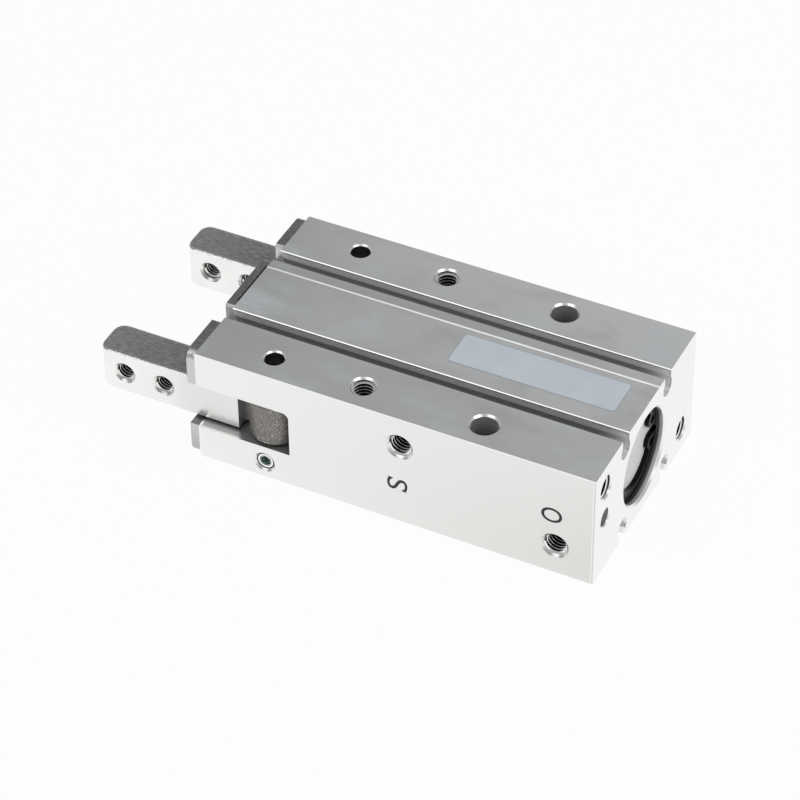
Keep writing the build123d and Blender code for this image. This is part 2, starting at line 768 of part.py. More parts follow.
# Near finger: the pad with its two threads, the hub round the shaft, and the thin lever
# with the cam slot that reaches between the crosshead's cheeks
with BuildPart() as finger_near:
    with BuildSketch(Plane.XY.offset(-finger_height / 2)) as finger_outline:
        with Locations((shaft_x, shaft_y)):
            Circle(hub_dia / 2)
        pad_size = (finger_tip - pad_rear, finger_outer_y - finger_inner_y)
        with Locations((finger_tip - pad_size[0] / 2, finger_inner_y + pad_size[1] / 2)):
            Rectangle(*pad_size)
        neck_size = (pad_rear - shaft_x + over, neck_outer_y - finger_inner_y)
        with Locations((shaft_x + neck_size[0] / 2, finger_inner_y + neck_size[1] / 2)):
            Rectangle(*neck_size)
        neck_corners = [
            corner
            for corner in finger_outline.vertices()
            if abs(corner.Y - neck_outer_y) < neck_fillet / 2 and corner.X > shaft_x
        ]
        fillet(max(neck_corners, key=lambda corner: corner.X), neck_fillet)
        fillet(finger_outline.vertices().group_by(Axis.X)[-1], tip_round)
    extrude(amount=finger_height)
    rims = finger_near.edges().filter_by(Plane.XY)
    chamfer(rims.group_by(Axis.Z)[0] + rims.group_by(Axis.Z)[-1], finger_edge)

    # The tip's lower edge is rounded across the finger
    with BuildSketch(Plane.XZ.offset(-finger_outer_y - over)):
        with Locations((finger_tip - tip_lower_round, tip_lower_round - finger_height / 2)):
            corner_side = tip_lower_round + over
            Rectangle(corner_side, corner_side, align=(Align.MIN, Align.MAX))
            Circle(tip_lower_round, mode=Mode.SUBTRACT)
    extrude(amount=pad_size[1] + 2 * over, mode=Mode.SUBTRACT)

    # Lever, from the hub to the far end of the cam
    with BuildSketch(Plane.XY.offset(-lever_height / 2)):
        add(cam_band(lever_half_width))
        web_low = cam_point(0, 0)[1]
        with BuildLine():
            Polyline(
                (shaft_x - lever_web_rear, web_low),
                (shaft_x - lever_web_rear, shaft_y),
                (shaft_x + lever_web_front, shaft_y),
                (shaft_x + lever_web_front, finger_inner_y),
                (cam_point(0, 0)[0] + lever_half_width, web_low),
                close=True,
            )
        make_face()
    extrude(amount=lever_height)
    with BuildSketch(Plane.XY.offset(-lever_height / 2 - over)):
        add(cam_band(cam_half_width))
    extrude(amount=lever_height + 2 * over, mode=Mode.SUBTRACT)

    with Locations((shaft_x, shaft_y, finger_height / 2)):
        Hole(shaft_dia / 2 + shaft_running)
    finger_hole_radius = finger_thread_dia / 2
    finger_hole_spots = [finger_hole_x, finger_hole_x - finger_hole_pitch]
    with Locations(
        *[Plane((x, finger_outer_y, 0), z_dir=(0, 1, 0)) for x in finger_hole_spots],
        *[Plane((x, finger_inner_y, 0), z_dir=(0, -1, 0)) for x in finger_hole_spots],
    ):
        CounterSinkHole(
            finger_hole_radius, finger_hole_radius + finger_hole_chamfer, pad_size[1], 90
        )


# The far finger is the near one mirrored across the cylinder's axis
with BuildPart() as finger_far:
    mirror(finger_near.part, about=Plane.XZ)


for name, piece in {
    "body": body,
    "end_plate": end_plate,
    "end_plate_screws": end_plate_screws,
    "rear_cap": rear_cap,
    "cap_gasket": cap_gasket,
    "retaining_ring": retaining_ring,
    "rear_bumper": rear_bumper,
    "front_bumper": front_bumper,
    "rod_seal": rod_seal,
    "shaft_near": shaft_near,
    "shaft_far": shaft_far,
    "shaft_set_screws": shaft_set_screws,
    "piston": piston,
    "piston_seal": piston_seal,
    "magnet_ring": magnet_ring,
    "wear_ring": wear_ring,
    "piston_rod": piston_rod,
    "piston_nut": piston_nut,
    "crosshead": crosshead,
    "roller_pins": roller_pins,
    "roller_near": roller_near,
    "roller_far": roller_far,
    "finger_near": finger_near,
    "finger_far": finger_far,
}.items():
    piece.part.label = name
    export_step(piece.part, "parts/" + name + ".step")
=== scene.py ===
# %% [markdown]
# A pneumatic angular gripper, dressed for a studio picture. The CAD model already has the exact
# shapes, so this lesson adds what a drawing leaves out: the finish of each metal, the turns of
# the screw threads, the bare label plate and the marks beside the air ports.
#
# All lengths are in metres. +X runs along the cylinder to the fingers, +Z is up, and the air
# ports are on the +Y side.

# %% Load the frame
import json
import math

import bpy
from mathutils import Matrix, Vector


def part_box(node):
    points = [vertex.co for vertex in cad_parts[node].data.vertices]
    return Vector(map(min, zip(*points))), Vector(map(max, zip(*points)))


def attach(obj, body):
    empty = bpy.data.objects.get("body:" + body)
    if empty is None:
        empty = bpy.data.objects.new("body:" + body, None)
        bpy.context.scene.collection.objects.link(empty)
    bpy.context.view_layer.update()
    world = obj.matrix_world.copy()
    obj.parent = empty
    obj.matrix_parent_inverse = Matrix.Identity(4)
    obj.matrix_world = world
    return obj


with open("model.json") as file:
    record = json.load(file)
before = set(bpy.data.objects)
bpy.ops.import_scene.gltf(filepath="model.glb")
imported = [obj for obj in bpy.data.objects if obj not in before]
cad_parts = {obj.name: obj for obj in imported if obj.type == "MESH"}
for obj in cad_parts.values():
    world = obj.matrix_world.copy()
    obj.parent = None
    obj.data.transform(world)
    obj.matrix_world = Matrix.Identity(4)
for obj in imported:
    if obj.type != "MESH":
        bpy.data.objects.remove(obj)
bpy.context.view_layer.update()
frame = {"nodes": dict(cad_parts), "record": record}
nodes = frame["nodes"]
mounts = {mount["name"]: mount for mount in frame["record"]["mounts"]}
mm = 0.001

# %% [markdown]
# The camera repeats the photograph's view. A product photograph is taken from some distance
# with a long lens, so parallel edges stay nearly parallel. A wide lens close by would fit the
# frame as well, but would spread the near end. The place, the turn and the focal length were
# solved together from the block's corners and holes.

# %% Camera
camera_data = bpy.data.cameras.new("camera")
camera_data.sensor_width = 36.0
camera_data.lens = 151.17
camera = bpy.data.objects.new("camera", camera_data)
camera.location = (-0.18044, 0.46378, 0.44608)
camera.rotation_euler = [math.radians(angle) for angle in (49.0147, 0.5591, -153.63996)]
bpy.context.scene.collection.objects.link(camera)
bpy.context.scene.camera = camera
print("camera", round(camera.location.length / mm), "mm from the origin")

# %% [markdown]
# Shader nodes are wired up with sums such as 1 - mask, so a small class stands for the output
# of a node and lets Python's operators add Math nodes. The other way is to write each node and
# link by hand, which takes ten lines for every sum and hides what it means.

# %% Sums with node outputs
class Signal:
    """A number that changes over the surface, taken from one output of a node."""

    def __init__(self, finish, socket):
        self.finish = finish
        self.socket = socket

    def calculate(self, operation, first, second, clamped=False):
        settings = {"operation": operation, "use_clamp": clamped}
        return self.finish.add("ShaderNodeMath", settings, {0: first, 1: second})

    def __add__(self, other):
        return self.calculate("ADD", self, other)

    def __sub__(self, other):
        return self.calculate("SUBTRACT", self, other)

    def __mul__(self, other):
        return self.calculate("MULTIPLY", self, other)

    def __rsub__(self, other):
        return self.calculate("SUBTRACT", other, self)

    __radd__ = __add__
    __rmul__ = __mul__

    def size(self):
        return self.calculate("ABSOLUTE", self, 0.0)

    def root(self):
        return self.calculate("SQRT", self, 0.0)

    def most(self, other):
        return self.calculate("MAXIMUM", self, other)

    def ramp(self, start, end):
        """0 where this is start, 1 where it is end, and held to that range outside."""
        scaled = (self - start) * (1.0 / (end - start))
        return self.calculate("ADD", scaled, 0.0, clamped=True)

    def above(self, limit, soft):
        """0 up to limit, and 1 from limit + soft on."""
        return self.ramp(limit, limit + soft)

    def below(self, limit, soft):
        """1 up to limit, and 0 from limit + soft on."""
        return self.ramp(limit + soft, limit)

    def between(self, low, high, soft):
        return self.above(low, soft) * self.below(high, soft)


def distance(first, second):
    """How far from a line, such as a hole's axis, from the two offsets across it."""
    return (first * first + second * second).root()


print("sums ready")

# %% [markdown]
# A second class stands for one material. It adds the nodes that every finish here needs:
# coordinates in the gripper's own frame, noise, blends of two colours and a bump. A fresh set
# of nodes written out for each of the materials would hide how they differ.

# %% A material with its nodes
class Finish:
    """One material, with its nodes."""

    def __init__(self, name, **fixed):
        self.material = bpy.data.materials.new(name)
        self.material.use_nodes = True
        self.tree = self.material.node_tree
        self.shader = self.tree.nodes["Principled BSDF"]
        self.place = None
        for socket, value in fixed.items():
            self.shader.inputs[socket.replace("_", " ").title()].default_value = value

    def add(self, kind, settings=None, inputs=None, output=0):
        """Add a node: first its settings, then the values or links of its sockets."""
        node = self.tree.nodes.new(kind)
        for name, value in (settings or {}).items():
            setattr(node, name, value)
        for key, value in (inputs or {}).items():
            self.join(node.inputs[key], value)
        return Signal(self, node.outputs[output])

    def join(self, socket, value):
        if isinstance(value, Signal):
            self.tree.links.new(value.socket, socket)
        else:
            socket.default_value = value

    def drive(self, name, value):
        """Let a signal drive one socket of the surface shader."""
        self.join(self.shader.inputs[name], value)

    def position(self):
        """Object coordinates, which are metres in the gripper's own frame."""
        if self.place is None:
            self.place = self.add("ShaderNodeTexCoord", output="Object")
        return self.place

    def axes(self, vector):
        """The X, Y and Z of a vector, as three signals."""
        parts = self.tree.nodes.new("ShaderNodeSeparateXYZ")
        self.tree.links.new(vector.socket, parts.inputs[0])
        return [Signal(self, output) for output in parts.outputs]

    def facing(self):
        """How far the surface faces along X, Y and Z, front or back alike."""
        normal = self.add("ShaderNodeTexCoord", output="Normal")
        return [part.size() for part in self.axes(normal)]

    def noise(self, grain, stretch=(1.0, 1.0, 1.0), detail=2.0, shift=0.0):
        """Noise whose lumps are about grain long, longer along the stretched axes."""
        scale = [1.0 / (grain * factor) for factor in stretch]
        place = self.add(
            "ShaderNodeMapping",
            {},
            {"Vector": self.position(), "Scale": scale, "Location": (shift, shift, shift)},
        )
        inputs = {"Vector": place, "Scale": 1.0, "Detail": detail}
        return self.add("ShaderNodeTexNoise", {}, inputs)

    def blend(self, low, high, mask):
        """Mix two colours, each a tuple or a signal, by a mask from 0 to 1."""
        inputs = {"Factor": mask, 6: as_colour(low), 7: as_colour(high)}
        return self.add("ShaderNodeMix", {"data_type": "RGBA"}, inputs, output=2)

    def layers(self, colour, *tints):
        """Lay tints on a colour one after the other, each with its own mask."""
        for tint, mask in tints:
            colour = self.blend(colour, tint, mask)
        return colour

    def bump(self, height, depth):
        """Raise the surface by depth where height is 1, in how it catches light."""
        inputs = {"Height": height, "Distance": depth}
        self.drive("Normal", self.add("ShaderNodeBump", {}, inputs))


def as_colour(value):
    """A grey number or an RGB tuple as the four numbers that a colour socket takes."""
    if isinstance(value, Signal):
        return value
    if isinstance(value, (int, float)):
        value = (value, value, value)
    return (*value, 1.0)


print("material helpers ready")

# %% [markdown]
# The floor is a plain sheet of pale card. The picture's background is pure white, so rays from
# the camera see the card mostly as a white glow of strength 1, and a small share of its real
# shading keeps the gripper's shadow. Reflected rays see the same white, because bare metal
# looks like whatever stands around it. More lamp light would also whiten the card, but would
# burn out the metal with it.

# %% Floor
floor_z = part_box("body")[0][2]
middle_x = 50 * mm
bpy.ops.object.select_all(action="DESELECT")
bpy.ops.mesh.primitive_plane_add(size=6.0, location=(middle_x, 0.0, floor_z))
floor = bpy.context.object
floor.name = "floor"

card = Finish("pale_card", base_color=(0.8, 0.8, 0.8, 1.0), roughness=0.9)
rays = card.tree.nodes.new("ShaderNodeLightPath")
seen = sum(
    Signal(card, rays.outputs[kind])
    for kind in ("Is Camera Ray", "Is Glossy Ray", "Is Transmission Ray")
)
glow = card.add("ShaderNodeEmission", {}, {"Color": (1.0, 1.0, 1.0, 1.0), "Strength": 1.0})
shading = Signal(card, card.shader.outputs[0])
# A little over 1, so that about 4 % of the real shading stays
full_glow = 1.04
whiteness = seen.ramp(0.0, full_glow)
surface = card.add("ShaderNodeMixShader", {}, {0: whiteness, 1: shading, 2: glow})
card.tree.links.new(surface.socket, card.tree.nodes["Material Output"].inputs["Surface"])
floor.data.materials.append(card.material)
print("floor at", round(floor_z / mm, 2), "mm")

# %% [markdown]
# The room is a mid grey, which is what the flat top of the block mirrors back at the camera,
# while the sides mirror the white card. One broad lamp above the port side puts the thin
# bright line on the long edges, and a weaker one lights the rear end. Area lamps give the soft
# shadows of a light tent. A sun lamp would be simpler, but has hard ones.

# %% World and lamps
room_grey = 0.45
world = bpy.data.worlds.new("room")
bpy.context.scene.world = world
world.use_nodes = True
sky = world.node_tree.nodes["Background"]
sky_rays = world.node_tree.nodes.new("ShaderNodeLightPath")
sky_mix = world.node_tree.nodes.new("ShaderNodeMix")
sky_mix.data_type = "RGBA"
sky_mix.inputs[6].default_value = (room_grey, room_grey, room_grey * 1.01, 1.0)
sky_mix.inputs[7].default_value = (1.0, 1.0, 1.0, 1.0)
world.node_tree.links.new(sky_rays.outputs["Is Camera Ray"], sky_mix.inputs["Factor"])
world.node_tree.links.new(sky_mix.outputs[2], sky.inputs["Color"])


def lamp(name, toward, away, size, watts):
    """Put a square lamp in a direction from the gripper, facing it."""
    data = bpy.data.lights.new(name, "AREA")
    data.shape = "SQUARE"
    data.size = size
    data.energy = watts
    light = bpy.data.objects.new(name, data)
    length = math.sqrt(sum(part * part for part in toward))
    way = [part / length for part in toward]
    light.location = [middle_x + way[0] * away, way[1] * away, way[2] * away]
    light.rotation_euler = (math.acos(way[2]), 0.0, math.atan2(way[1], way[0]) + math.pi / 2)
    bpy.context.scene.collection.objects.link(light)


lamp("port_side_lamp", (0.34, 0.66, 0.68), away=1.3, size=0.9, watts=2.8)
lamp("rear_lamp", (-0.75, 0.15, 0.6), away=1.3, size=0.8, watts=4.0)
bpy.context.scene.view_settings.view_transform = "Standard"
print("two lamps in a grey room")

# %% [markdown]
# The block is drawn aluminium with a clear anodised skin. Its top and bottom keep the satin
# skin of the bar, a little cloudy and greyer, while its sides and ends are finely milled and
# bright. The grooves, the slot and the holes are duller again. One material does all of it: it
# tells from the place and the direction of the surface which look it has. Several materials
# would need the faces of the mesh sorted into them. First come the masks, each 1 on its place
# and 0 elsewhere.

# %% Places on the block
# Limits of the places, as the CAD model has them
block_length, half_width, half_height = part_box("body")[1]
sharp = 0.1 * mm
chamfer = 0.46 * mm
row_x = mounts["top_threads"]["pos_m"][0]
row_y = mounts["top_threads"]["dims"]["spacing_y_mm"] * mm / 2
ports_until = 49 * mm
groove_inner, groove_outer, groove_bottom = 8.1 * mm, 12.6 * mm, 8.0 * mm
groove_neck = 11.6 * mm
seat_depth, seat_radius, ring_depth = 4.0 * mm, 11.1 * mm, 1.1 * mm
slot_start, slot_half_height = 60 * mm, 5.5 * mm
dowel_depth, dowel_radius = 4.7 * mm, 2.5 * mm
rib_inner = 6.1 * mm


class BlockPlaces:
    """Masks of the block's faces, grooves, holes and fine lines."""

    def __init__(self, finish):
        self.along, self.across, self.height = finish.axes(finish.position())
        self.beside = self.across.size()
        self.level = self.height.size()
        self.upward = finish.facing()[2]
        self.mark_outside()
        self.mark_grooves()
        self.mark_holes()
        self.mark_lines()

    def mark_outside(self):
        """The outer faces with their chamfers and the mouths of the threads in them."""
        soft = 0.06 * mm
        top_mouth = self.level.above(half_height - 1.5 * mm, 0.4 * mm)
        top_mouth *= distance(self.along - row_x, self.beside - row_y).below(2.8 * mm, sharp)
        port_mouth = self.beside.above(half_width - 1.4 * mm, 0.4 * mm)
        port_mouth *= self.along.below(ports_until, 1 * mm)
        on_flat = self.level.above(half_height - chamfer, soft).most(top_mouth)
        on_side = self.beside.above(half_width - chamfer, soft).most(port_mouth)
        on_rear = self.along.below(chamfer - soft, soft)
        self.on_end = on_rear.most(self.along.above(block_length - chamfer, soft))
        self.outside = on_flat.most(on_side).most(self.on_end)
        self.satin = self.upward.above(0.80, 0.15) * on_flat

    def mark_grooves(self):
        """The four sensor grooves, their lit parts and the dark seam at the end plate."""
        self.groove = self.beside.between(groove_inner, groove_outer, sharp)
        self.groove *= self.level.above(groove_bottom, sharp)
        neck = self.level.above(groove_neck, 0.5 * mm)
        self.groove_lit = neck.most(self.along.below(0.5 * mm, 6.5 * mm))
        self.seam = self.groove * self.level.below(groove_neck + 0.2 * mm, 0.2 * mm)
        self.seam *= self.along.above(block_length - 0.5 * mm, sharp)

    def mark_holes(self):
        """The cap's seat with a band of painted shade beside its ring, the slot, the dowel hole
        and the through holes.
        """
        soft = 0.2 * mm
        self.seat = self.along.below(seat_depth, soft)
        self.seat *= distance(self.across, self.height).below(seat_radius, soft)
        # Painted shade on the seat wall beside and behind the ring
        self.ring_shade_band = self.seat * self.along.above(ring_depth, 0.25 * mm)
        self.slot = self.along.above(slot_start, 1 * mm)
        self.slot *= self.level.below(slot_half_height, soft)
        from_dowel = distance(self.across - mounts["rear_dowel"]["pos_m"][1], self.height)
        self.dowel_hole = self.along.below(dowel_depth, sharp)
        self.dowel_hole *= from_dowel.below(dowel_radius, soft)
        holes = mounts["through_holes"]
        hole_y = holes["dims"]["spacing_y_mm"] * mm / 2
        radius = holes["dims"]["hole_r_mm"] * mm
        from_hole = distance(self.along - holes["pos_m"][0], self.beside - hole_y)
        self.through = from_hole.below(radius * 1.10, radius * 0.05)

    def mark_lines(self):
        """Fine lines: the top's two low ribs, with painted shade beyond the far one and a painted
        highlight on the near one, the long edges, painted darker to dim their highlight, and the
        near rear corner.
        """
        self.far_rib = self.across.below(-rib_inner - 0.18 * mm, 0.40 * mm) * self.satin
        # Painted shade on the strip between the far rib and its groove, stronger away from the
        # rear end
        self.beyond_rib_shade = self.across.below(-rib_inner - 0.5 * mm, 0.3 * mm)
        self.beyond_rib_shade *= self.across.above(-9.0 * mm, 0.4 * mm)
        self.beyond_rib_shade *= self.along.ramp(2 * mm, 35 * mm)
        # A painted highlight: a thin bright line along the near rib
        self.near_rib_highlight = (self.across - rib_inner).size().below(0.08 * mm, 0.12 * mm)
        self.near_rib_highlight *= self.along.ramp(60 * mm, 80 * mm)
        # The long top edges, to be painted darker as painted shade that dims their highlight
        self.long_edge_shade = self.beside.above(half_width - 0.30 * mm, 0.08 * mm)
        self.long_edge_shade *= self.upward.above(0.5, 0.1)
        self.corner = self.across.above(half_width - 0.26 * mm, 0.12 * mm)
        self.corner *= self.along.below(0.14 * mm, 0.12 * mm)


print("block", round(block_length / mm, 2), "mm long and", round(2 * half_width / mm, 2), "wide")

# %% [markdown]
# Each look is a base colour with a few tints over it. The drawn skin gets darker towards the
# fingers and the near edge and lighter at the far edge, as painted shading of the room's
# reflection, with clouds and specks from two noises of different size, because one noise gives
# only lumps of one size. The milled faces have hair-fine streaks along the block, and painted
# shading that lightens them towards the fingers and the top. Inside, the holes are painted nearly
# black as painted shade, and the grooves lighter where light reaches in.

# %% Looks of the block
def drawn_skin(finish, place, clouds, specks):
    """The satin top and bottom, in the order that the tints lie on each other."""
    return finish.layers(
        (0.90, 0.91, 0.905),
        # Painted shading of the room's reflection: darker towards the fingers and the near edge,
        # lighter at the far edge
        ((0.72, 0.735, 0.735), place.along.ramp(-10 * mm, 90 * mm)),
        ((0.98, 0.98, 0.975), place.across.ramp(-10 * mm, -24 * mm) * 0.35),
        ((0.60, 0.615, 0.615), place.across.ramp(5 * mm, 14 * mm) * 0.30),
        ((0.60, 0.615, 0.610), place.along.ramp(70 * mm, 92 * mm) * 0.60),
        ((0.62, 0.64, 0.64), clouds.ramp(0.46, 0.30) * 0.5),
        ((0.86, 0.92, 0.93), clouds.ramp(0.54, 0.70) * 0.7),
        ((0.70, 0.70, 0.70), specks.ramp(0.58, 0.74) * 0.30),
        # Painted highlight on the near rib
        ((1.0, 1.0, 1.0), place.near_rib_highlight * 0.35),
        # Painted shade beyond the far rib
        ((0.55, 0.555, 0.55), place.beyond_rib_shade * 0.45),
    )


def milled_faces(finish, place, streaks):
    return finish.layers(
        (0.74, 0.74, 0.72),
        # Painted shading of the reflection: lighter towards the fingers and towards the top
        ((0.90, 0.90, 0.888), place.along.ramp(-5 * mm, 80 * mm)),
        ((0.93, 0.93, 0.92), place.height.ramp(-8 * mm, 14 * mm) * 0.35),
        ((0.93, 0.93, 0.92), place.on_end),
        ((0.72, 0.72, 0.70), streaks.ramp(0.5, 0.9) * 0.12),
        # Painted shade on the long top edges, which dims their highlight
        ((0.62, 0.62, 0.61), place.long_edge_shade),
    )


def inner_walls(finish, place, specks):
    # Painted shade inside the block: nearly black in the holes, grey in the slot, dowel hole and
    # through holes, and in the grooves dark deep down and light at the neck and near the rear
    # end, where light reaches in
    groove_walls = finish.blend((0.50, 0.50, 0.49), (0.95, 0.96, 0.95), place.groove_lit)
    return finish.layers(
        (0.09, 0.09, 0.09),
        ((0.13, 0.13, 0.127), specks.ramp(0.3, 0.7)),
        (groove_walls, place.groove),
        ((0.01, 0.01, 0.01), place.seam),
        ((0.55, 0.55, 0.545), place.slot),
        ((0.86, 0.86, 0.85), place.seat),
        # Painted shade beside the ring
        ((0.05, 0.05, 0.05), place.ring_shade_band * 0.85),
        ((0.65, 0.65, 0.64), place.dowel_hole),
        ((0.42, 0.42, 0.41), place.through),
    )


print("3 looks for the block")

# %% [markdown]
# Now the looks are put together by the masks. The rib beside the far groove is only a tenth or
# two of a millimetre high. Its inner edge is a step in the bump, which bends the light as a
# small chamfer does, and so it shows as a bright line.

# %% Block finish
def block_finish():
    finish = Finish("block_aluminium")
    place = BlockPlaces(finish)
    clouds = finish.noise(9 * mm, (2.0, 1.0, 1.0), detail=3.0)
    specks = finish.noise(0.16 * mm, detail=1.0)
    streaks = finish.noise(0.25 * mm, (60.0, 1.0, 1.0), detail=2.0)
    skin = finish.layers(
        milled_faces(finish, place, streaks),
        (drawn_skin(finish, place, clouds, specks), place.satin),
        ((0.66, 0.66, 0.65), place.corner),
    )
    inside = 1 - place.outside
    finish.drive("Base Color", finish.blend(skin, inner_walls(finish, place, specks), inside))
    # Some of the light in the grooves and the through holes is scattered, not mirrored
    scattered = place.groove * place.across.ramp(20 * mm, -14 * mm) * 0.28
    scattered = scattered.most(place.through * 0.4)
    finish.drive("Metallic", 1 - inside * scattered)
    finish.drive("Roughness", place.satin * 0.10 + clouds * 0.05 + inside * 0.20 + 0.27)
    grain = (specks * place.satin + streaks * 0.10) * 0.009
    finish.bump(grain + place.far_rib, 0.50 * mm)
    return finish.material


print("block finish ready")

# %% [markdown]
# The fingers and the end plate are cut from steel. Their flat tops are the dark skin of the
# heat treatment, with fine scratches, and their sides are ground bright. The rim between them
# has worn to pale specks. It is a real chamfer in the model, so the direction of its surface
# tells the shader where to wear it. A painted map could hold every scratch, but would blur up
# close, while noise stays sharp.
#
# The round hubs of the fingers keep the rough brown skin of their casting, and the specks have
# spread a little over the edges of the fingers' tops. The plate has a dark line where it meets
# the block.

# %% Steel finish
def warm(level):
    """A light grey with a touch of yellow."""
    return (level, level * 0.99, level * 0.975)


class SteelFinish(Finish):
    """Steel with a dark scratched top, bright sides and a speckled rim between them."""

    def __init__(self, name, top, side, rim, roughness, scratch_along):
        super().__init__(name, metallic=1.0)
        self.along, self.across, self.height = self.axes(self.position())
        self.upward = self.facing()[2]
        self.flat = self.upward.above(0.85, 0.12)
        self.rim = rim
        clouds = self.noise(5 * mm, detail=3.0)
        self.specks = self.noise(0.25 * mm, detail=3.0)
        scratches = self.noise(0.12 * mm, scratch_along, detail=2.0, shift=3.0)
        skin = self.layers(
            top * 0.86,
            (top * 1.06, clouds.ramp(0.3, 0.7)),
            (top * 1.35, self.along.ramp(92 * mm, 111 * mm) * 0.8),
            (top * 2.1, scratches.ramp(0.54, 0.70) * 0.75),
            (top * 0.50, scratches.ramp(0.47, 0.34) * 0.7),
            (top * 0.55, self.specks.ramp(0.56, 0.64) * 0.35),
        )
        ground = self.layers(
            warm(side),
            (warm(side * 0.95), clouds.ramp(0.35, 0.65)),
            # Painted shade on the sides: darker near the block and towards the bottom
            (warm(side * 0.86), self.along.ramp(98 * mm, 91 * mm)),
            (warm(side * 0.55), self.height.ramp(-5 * mm, -15 * mm)),
        )
        worn = self.blend(top * 0.9, rim, self.specks.ramp(0.36, 0.60))
        sloped = self.upward.above(0.35, 0.20) - self.flat
        self.colour = self.layers(ground, (skin, self.flat), (worn, sloped))
        self.shine = self.flat * 0.12 + roughness + self.specks * 0.06
        self.relief = self.specks * self.flat + scratches * 0.4

    def tint(self, colour, mask):
        self.colour = self.blend(self.colour, colour, mask)

    def keep_cast_hub(self, until):
        """The skin of the casting as far as until along X, with a plain step at its front."""
        cast = self.along.below(until - 0.4 * mm, 0.4 * mm)
        step = self.along.ramp(until - 3.4 * mm, until - 2.2 * mm)
        grit = self.noise(0.25 * mm, detail=3.0, shift=7.0)
        skin = self.layers(
            (0.15, 0.143, 0.135),
            ((0.33, 0.315, 0.30), grit.ramp(0.38, 0.60)),
            ((0.90, 0.89, 0.87), grit.ramp(0.64, 0.70) * 0.8),
            ((0.34, 0.33, 0.32), step),
        )
        self.tint(skin, cast)
        self.drive("Metallic", 1 - cast * step * 0.6)
        self.shine += cast * 0.22
        self.relief += cast * grit * 3.0

    def wear_edges(self):
        """Pale specks along both edges of each finger's flat top."""
        beside = self.across.size()
        by_edge = beside.above(pad_outer - 0.95 * mm, 0.4 * mm)
        by_edge = by_edge.most(beside.below(pad_inner + 0.55 * mm, 0.4 * mm))
        by_edge *= self.flat * self.along.above(86 * mm, 2 * mm)
        self.tint(self.rim, by_edge * self.specks.ramp(0.46, 0.56) * 0.6)

    def darken_joint(self):
        """A dark line where the plate's flat top meets the block between the grooves."""
        joint = self.along.below(block_length + 0.30 * mm, 0.12 * mm)
        joint *= self.upward.above(0.2, 0.2) * self.across.size().below(6.2 * mm, 0.2 * mm)
        self.tint((0.02, 0.02, 0.02), joint)

    def finished(self):
        self.drive("Base Color", self.colour)
        self.drive("Roughness", self.shine)
        self.bump(self.relief, 0.006 * mm)
        return self.material


pad_outer = mounts["near_finger_holes"]["pos_m"][1]
pad_inner = mounts["near_grip_face"]["pos_m"][1]
plate = SteelFinish(
    "plate_steel", top=0.26, side=0.74, rim=0.60, roughness=0.30, scratch_along=(1.0, 8.0, 1.0)
)
plate.darken_joint()
finger = SteelFinish(
    "finger_steel", top=0.33, side=0.955, rim=0.80, roughness=0.26, scratch_along=(14.0, 1.0, 1.0)
)
finger.keep_cast_hub(until=79.6 * mm)
finger.wear_edges()
print("fingers from", round(pad_inner / mm, 2), "to", round(pad_outer / mm, 2), "mm aside")

# %% [markdown]
# The other pieces need less. Screws, shafts and the retaining ring are turned, plated or
# blackened metal, whose slight grain moves the colour, the roughness and the bump together.
# Seals and stops are rubber, the guide ring is a pale plastic, and the cap is matt from its
# anodising. These mirror nothing clearly, so they are not metallic here. Single values for
# colour and roughness would be quicker, but look like moulded plastic.

# %% Plain metal and dull finishes
def grained_finish(name, colour, roughness, grain, contrast, metal):
    """One colour with a slight grain, which is finer in metal than on a dull surface."""
    finish = Finish(name, metallic=1.0 if metal else 0.0)
    grains = finish.noise(grain, detail=2.0 if metal else 3.0)
    low = [part * (1.0 - contrast) for part in colour]
    high = [min(1.0, part * (1.0 + contrast)) for part in colour]
    finish.drive("Base Color", finish.blend(low, high, grains.ramp(0.3, 0.7)))
    finish.drive("Roughness", grains * (0.10 if metal else 0.15) + roughness)
    finish.bump(grains, (0.003 if metal else 0.01) * mm)
    return finish.material


def plain_metal(name, colour, roughness, grain=0.3 * mm, contrast=0.12):
    return grained_finish(name, colour, roughness, grain, contrast, metal=True)


def dull_finish(name, colour, roughness, grain=0.25 * mm, contrast=0.25):
    return grained_finish(name, colour, roughness, grain, contrast, metal=False)


print("two kinds of plain finish")

# %% [markdown]
# Each set screw has a hexagon socket with a green tint and a bright rim round it, and its outer
# ring is painted dark as the shade in the gap of its thread. The screws stand across the block,
# so the distance from their axis tells the three apart. Three materials would need the faces
# sorted.

# %% Set screw finish
def set_screw_finish():
    finish = Finish("set_screw_steel", roughness=0.30)
    along, _, height = finish.axes(finish.position())
    centre_x, _, centre_z = [sum(pair) / 2 for pair in zip(*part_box("shaft_set_screws"))]
    from_middle = distance(along - centre_x, height - centre_z)
    rim = from_middle.above(1.28 * mm, 0.08 * mm)
    # Painted shade: the outer ring of the face stands for the shaded gap of the thread
    thread_gap_shade = from_middle.above(1.68 * mm, 0.08 * mm)
    grains = finish.noise(0.3 * mm, detail=2.0)
    colour = finish.layers(
        (0.08, 0.14, 0.12),
        ((0.46, 0.57, 0.52), grains.ramp(0.40, 0.60)),
        ((0.95, 0.95, 0.95), rim),
        ((0.04, 0.04, 0.04), thread_gap_shade),
    )
    finish.drive("Base Color", colour)
    finish.drive("Metallic", rim * 0.7 + 0.3)
    return finish.material


print("set screw finish ready")

# %% [markdown]
# The record of the CAD model names a material slot for each piece. A finish for each slot, put
# on by that name, dresses all pieces at once and misses none. Setting them one by one would
# work as well, until a piece is added.

